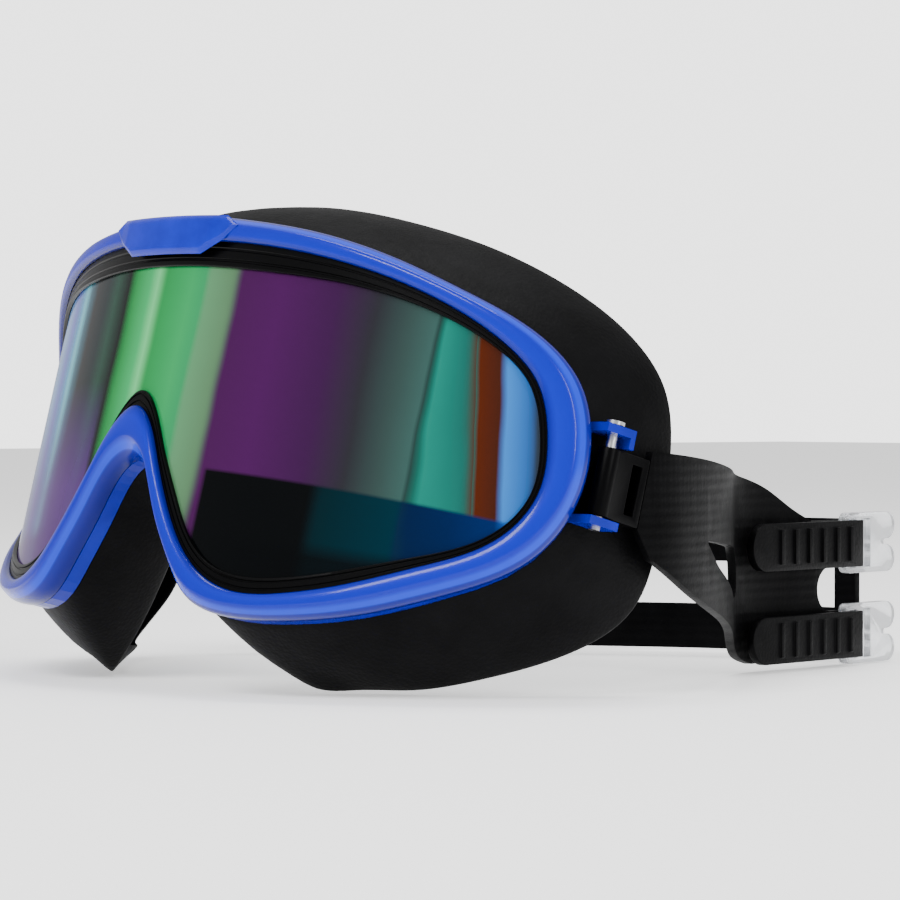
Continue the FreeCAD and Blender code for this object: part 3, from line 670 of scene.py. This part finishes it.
def skirt_rings():
    """Rings round the section: outer wall, lip, inner wall and flange."""
    start = on_front(OPEN_RING + (OUTER_RING - OPEN_RING) * 0.97, FLANGE_BACK)
    inner_start = on_front(moved_in(0.8), FLANGE_BACK)
    face = closed_list(FACE_EDGE)
    along = np.roll(face, -1, 0) - np.roll(face, 1, 0)
    along /= np.linalg.norm(along, axis=1)[:, None]
    back = face - start
    back /= np.linalg.norm(back, axis=1)[:, None]
    out = np.cross(along, back)
    out /= np.linalg.norm(out, axis=1)[:, None]
    stations = []
    for t in (0.08, 0.2, 0.35, 0.5, 0.65, 0.8, 0.9):
        bulge = SKIRT_BULGE * (1 - abs(2 * t - 1) ** 1.7)
        stations.append(start + (face - start) * t + out * bulge)
    for inwards, forwards in LIP_SECTION:
        stations.append(face - out * inwards - back * forwards)
    for t in (0.75, 0.5, 0.3):
        bulge = INNER_BULGE * (1 - abs(2 * t - 1) ** 2)
        stations.append(inner_start + (face - out * SKIRT_WALL - inner_start) * t + out * bulge)
    rings = [closed_curve(points, STEPS) for points in stations]
    rings += [inset(0.8, FLANGE_BACK), inset(0.8, FLANGE_FRONT)]
    return rings + [between(across, depth) for across, depth in FLANGE_SECTION]


skirt = ring_object("face_skirt_skin", skirt_rings(), sharp=45)
dress(skirt, "skirt")
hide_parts("face_skirt")
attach(skirt, "eyepiece")


# ------------------------------------------------------------------ straps
def open_curve(points, count):
    """A smooth open curve through plan points."""
    p = np.asarray(points, float)
    n = len(p)
    t = np.concatenate([[0], np.cumsum(np.linalg.norm(np.diff(p, axis=0), axis=1))])
    h = np.diff(t)
    system = np.eye(n)
    right = np.zeros_like(p)
    for i in range(1, n - 1):
        system[i, i - 1:i + 2] = h[i - 1], 2 * (h[i - 1] + h[i]), h[i]
        right[i] = 6 * ((p[i + 1] - p[i]) / h[i] - (p[i] - p[i - 1]) / h[i - 1])
    bend = np.linalg.solve(system, right)
    out = []
    for value in np.linspace(0, t[-1], count):
        i = min(int(np.searchsorted(t, value, side="right")) - 1, n - 2)
        b = (value - t[i]) / h[i]
        a = 1 - b
        out.append(a * p[i] + b * p[i + 1]
                   + ((a ** 3 - a) * bend[i] + (b ** 3 - b) * bend[i + 1]) * h[i] ** 2 / 6)
    return np.array(out)


HEADING = math.radians(12.0)  # the adjusters turn this far inwards from straight back
REAR = np.array([-math.sin(HEADING), math.cos(HEADING)])
ADJUSTER = np.array([32.3, 150.0])  # plan position of the adjusters' middle
STRAP_HALF = 0.8
STRAP_ROUND = 0.00042  # metres
STRAP_SLICE = 1.5  # distance between the cuts that let a strap bend
ROUTE_STEPS = 1500
EDGE_STEPS = 12
CORNER_STEPS = 5


def beside(along):
    """Plan position on the adjusters' line, by its distance behind their middle."""
    return ADJUSTER + REAR * along


def curve_rows(rows):
    """A smooth line through (along, height) rows."""
    return [tuple(row) for row in open_curve(rows, EDGE_STEPS * (len(rows) - 1))]


def rounded_polygon(corners, radius):
    """A closed list of points with rounded corners."""
    p = np.asarray(corners, float)
    out = []
    for i in range(len(p)):
        before, here, after = p[i - 1], p[i], p[(i + 1) % len(p)]
        one, two = before - here, after - here
        reach = min(radius, np.linalg.norm(one) * 0.45, np.linalg.norm(two) * 0.45)
        a = here + one / np.linalg.norm(one) * reach
        b = here + two / np.linalg.norm(two) * reach
        for k in range(CORNER_STEPS + 1):
            t = k / CORNER_STEPS
            out.append(tuple((1 - t) ** 2 * a + 2 * t * (1 - t) * here + t ** 2 * b))
    return out


def fork_gap(crotch, low_top, high, end):
    """The gap between two legs: a round front and two straight sides."""
    radius = (high - low_top) / 2
    middle = (high + low_top) / 2
    turn = np.linspace(math.pi / 2, 3 * math.pi / 2, EDGE_STEPS)
    points = [(crotch + radius + radius * math.cos(a), middle + radius * math.sin(a)) for a in turn]
    return points + [(end, middle - radius), (end, middle + radius)]


def strap_object(name, route, chord, outline, holes):
    """An upright strap of even thickness: a flat outline with holes, wrapped along a plan route.

    An outline's first value is measured along the direction `chord`, seen in plan.
    """
    work = bmesh.new()
    for loop in [outline] + holes:
        verts = [work.verts.new((a, 0, z)) for a, z in loop]
        for a, b in zip(verts, verts[1:] + verts[:1]):
            work.edges.new((a, b))
    bmesh.ops.triangle_fill(work, use_beauty=True, use_dissolve=False, edges=work.edges[:])
    low = min(a for a, z in outline)
    high = max(a for a, z in outline)
    for cut in np.arange(low + 1.0, high, STRAP_SLICE):
        geometry = work.verts[:] + work.edges[:] + work.faces[:]
        bmesh.ops.bisect_plane(work, geom=geometry, plane_co=(cut, 0, 0), plane_no=(1, 0, 0),
                               dist=1e-4)
    slanted = [e for e in work.edges
               if not e.is_boundary and abs(e.verts[0].co.x - e.verts[1].co.x) > 1e-3]
    bmesh.ops.dissolve_limit(work, angle_limit=0.001, verts=[], edges=slanted)
    direction = np.array([math.cos(chord), math.sin(chord)])
    path = open_curve(route, ROUTE_STEPS)
    along = path @ direction
    tangent = np.gradient(path, axis=0)
    tangent /= np.linalg.norm(tangent, axis=1)[:, None]
    flat = np.array([(v.co.x, v.co.z) for v in work.verts])
    work.verts.index_update()
    place = np.stack([np.interp(flat[:, 0], along, path[:, k]) for k in (0, 1)], -1)
    turn = np.stack([np.interp(flat[:, 0], along, tangent[:, k]) for k in (0, 1)], -1)
    side = np.stack([-turn[:, 1], turn[:, 0]], -1)
    faces = [[v.index for v in f.verts] for f in work.faces]
    edges = [[v.index for v in e.verts] for e in work.edges if e.is_boundary]
    work.free()
    count = len(flat)

    def wall(offset):
        plan = place + side * offset
        return from_table(np.column_stack([plan, flat[:, 1]]))

    verts = np.vstack([wall(STRAP_HALF), wall(-STRAP_HALF)])
    skin = [tuple(f) for f in faces] + [tuple(i + count for i in reversed(f)) for f in faces]
    skin += [(a, b, b + count, a + count) for a, b in edges]
    uv = [tuple(pair / LAYOUT_SCALE) for pair in flat] * 2
    obj = new_object(name, verts, skin, uv)
    fix_normals(obj)
    bevelled(obj, STRAP_ROUND, angle=50)
    return obj


# Heights of the two legs behind each fork, then the plan routes as (x, depth)
LOW_LEG_BOTTOM, LOW_LEG_TOP, HIGH_LEG_BOTTOM, HIGH_LEG_TOP = 1.4, 10.4, 19.1, 28.1
WINDOW_ROUND = 2.2
LEFT_ROUTE = [(77.4, 50), (77.2, 57), (74.6, 65.5), (64, 83), (51.5, 98)]
RIGHT_ROUTE = [(-77.4, 50), (-77.2, 57), (-71, 75), (-51, 104), (-22, 131), (6, 146.5),
               (30.6, 152.8)]
left_end = beside(-5.6)
left_route = LEFT_ROUTE + [tuple(beside(-40)), tuple(beside(-19)), tuple(left_end)]
# The left strap's outlines are (depth, height); the right one's run along the diagonal
left_top = curve_rows([(54.7, 42.6), (65.5, 41.7), (85, 39.9), (105.8, 37.6), (120.5, 34.4),
                       (128, 30.6), (134, HIGH_LEG_TOP)])
left_low = curve_rows([(54, 24), (66.5, 17.8), (84, 12.6), (101.6, 6.8), (108, 3.4),
                       (115, LOW_LEG_BOTTOM)])
left_rear = float(left_end[1])
*left_gap, gap_low, gap_high = fork_gap(136, LOW_LEG_TOP, HIGH_LEG_BOTTOM, left_rear)
left_outline = left_top + [(left_rear, HIGH_LEG_TOP), gap_high] + left_gap
left_outline += [gap_low, (left_rear, LOW_LEG_BOTTOM)] + left_low[::-1] + [(51.1, 29.1)]
left_window = rounded_polygon([(74, 26.6), (103, 24), (106.5, 20.5), (106, 14.6), (102, 14.6),
                               (81.7, 21.6)], WINDOW_ROUND)
left_strap = strap_object("left_strap_front", left_route, math.radians(90), left_outline,
                          [left_window])

right_top = curve_rows([(-16, 42.6), (2, 41.6), (20, 40.8), (37.5, 38.9), (57, 35), (66, 30.8),
                        (74, HIGH_LEG_TOP)])
right_low = curve_rows([(-15, 24), (-5, 18.2), (16, 13.2), (36.5, 6.8), (43.5, 3.4),
                        (51, LOW_LEG_BOTTOM)])
right_rear = sum(RIGHT_ROUTE[-1]) / math.sqrt(2)
right_outline = right_top + [(right_rear, HIGH_LEG_TOP), (right_rear, LOW_LEG_BOTTOM)]
right_outline += right_low[::-1] + [(-18.5, 29.1)]
right_window = rounded_polygon([(4, 26.6), (39, 24), (43.5, 20.5), (43, 14.6), (38, 14.6),
                                (12, 21.6)], WINDOW_ROUND)
right_gap = fork_gap(74, LOW_LEG_TOP, HIGH_LEG_BOTTOM, 125.6)
right_strap = strap_object("right_strap_front", RIGHT_ROUTE, math.radians(45), right_outline,
                           [right_window, right_gap])


def split_off(obj, name, point, direction):
    """Cuts obj at a plane; the part beyond it becomes a new object."""
    other = bpy.data.objects.new(name, obj.data.copy())
    bpy.context.scene.collection.objects.link(other)
    for piece, inner, outer in ((obj, False, True), (other, True, False)):
        work = bmesh.new()
        work.from_mesh(piece.data)
        geometry = work.verts[:] + work.edges[:] + work.faces[:]
        bmesh.ops.bisect_plane(work, geom=geometry, plane_co=point, plane_no=direction, dist=1e-7,
                               clear_outer=outer, clear_inner=inner)
        work.to_mesh(piece.data)
        work.free()
    return other


def at_table(x, y, z):
    return tuple(from_table((x, y, z)))


left_rear_strap = split_off(left_strap, "left_strap_rear", at_table(0, 112, 0), (0, 1, 0))
right_rear_strap = split_off(right_strap, "right_strap_rear", at_table(-22, 131, 0),
                             (0.82, 0.57, 0))
for piece in (left_strap, left_rear_strap, right_strap, right_rear_strap):
    dress(piece, "strap")
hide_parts("left_strap")
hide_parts("right_strap")
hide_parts("left_strap")
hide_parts("right_strap")
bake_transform(left_strap)
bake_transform(right_strap)
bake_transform(left_rear_strap)
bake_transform(right_rear_strap)

# ------------------------------------------------------------------ tails, adjusters, clips, pins
TAIL_ROUND, ADJUSTER_ROUND, CLIP_ROUND = 0.00035, 0.0003, 0.00025  # metres
for level in ("lower", "upper"):
    body = level + "_buckle"
    tail = refined(level + "_tail", level + "_tail_ribbed", TAIL_ROUND)
    dress(tail, "tail")
    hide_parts(level + "_tail")
    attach(tail, body)
    adjuster = refined(level + "_adjuster", level + "_adjuster_plate", ADJUSTER_ROUND)
    dress(adjuster, "clear")
    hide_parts(level + "_adjuster")
    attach(adjuster, body)
for side in ("left", "right"):
    clip = refined(side + "_strap_clip", side + "_clip_moulded", CLIP_ROUND)
    dress(clip, "clip")
    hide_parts(side + "_strap_clip")
    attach(clip, side + "_clip")
for cad_node, material in (("left_pivot_pin", "steel"), ("right_pivot_pin", "steel"),
                           ("rear_frame", "rear_frame")):
    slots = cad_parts[cad_node].data.materials
    slots.clear()
    slots.append(MATERIALS[material])

# ------------------------------------------------------------------ stage, light and camera
# Here all lengths are in metres.
WHITE = (1, 1, 1, 1)
floor = new_object("floor", [(-3, -3, 0), (3, -3, 0), (3, 3, 0), (-3, 3, 0)], [(0, 1, 2, 3)])
floor.data.materials.append(shader("floor_pale", (0.97, 0.97, 0.97), 0.7, Emission_Color=WHITE,
                                   Emission_Strength=0.55)[0])
floor.location.z = -0.0003

world = bpy.data.worlds.new("studio")
bpy.context.scene.world = world
world.use_nodes = True
# The surroundings light the goggles softly, and look brighter than they light.
LIT, SEEN_ABOVE_LIT = 0.75, 2.2
world_tree = world.node_tree
background = world_tree.nodes["Background"]
background.inputs["Color"].default_value = WHITE
seen = node(world_tree, "ShaderNodeLightPath").outputs["Is Camera Ray"]
glow = math_node(world_tree, "ADD", math_node(world_tree, "MULTIPLY", seen, SEEN_ABOVE_LIT), LIT)
world_tree.links.new(glow, background.inputs["Strength"])


MIDDLE = (0, 0, 0.04)


def area_light(name, location, size, power):
    """A soft rectangular light that faces the goggles."""
    data = bpy.data.lights.new(name, "AREA")
    data.shape = "RECTANGLE"
    data.size, data.size_y = size
    data.energy = power
    lamp = bpy.data.objects.new(name, data)
    bpy.context.scene.collection.objects.link(lamp)
    lamp.location = location
    lamp.rotation_mode = "QUATERNION"
    lamp.rotation_quaternion = (Vector(MIDDLE) - Vector(location)).to_track_quat("-Z", "Y")


area_light("key", (0.25, -0.75, 0.75), (0.5, 0.25), 9)
area_light("side", (0.9, 0.1, 0.45), (0.25, 0.5), 5)
area_light("top", (-0.1, 0.1, 0.9), (0.6, 0.3), 5)

camera_data = bpy.data.cameras.new("camera")
camera_data.sensor_width = 36
camera_data.lens = 162.74
camera_data.clip_start = 0.05
camera = bpy.data.objects.new("camera", camera_data)
bpy.context.scene.collection.objects.link(camera)
camera.location = (0.5990, -0.4980, 0.0517)
camera.rotation_mode = "QUATERNION"
aim = Vector((0.0370, -0.0343, 0.0426))
camera.rotation_quaternion = (aim - camera.location).to_track_quat("-Z", "Y")
bpy.context.scene.camera = camera

bpy.context.view_layer.update()
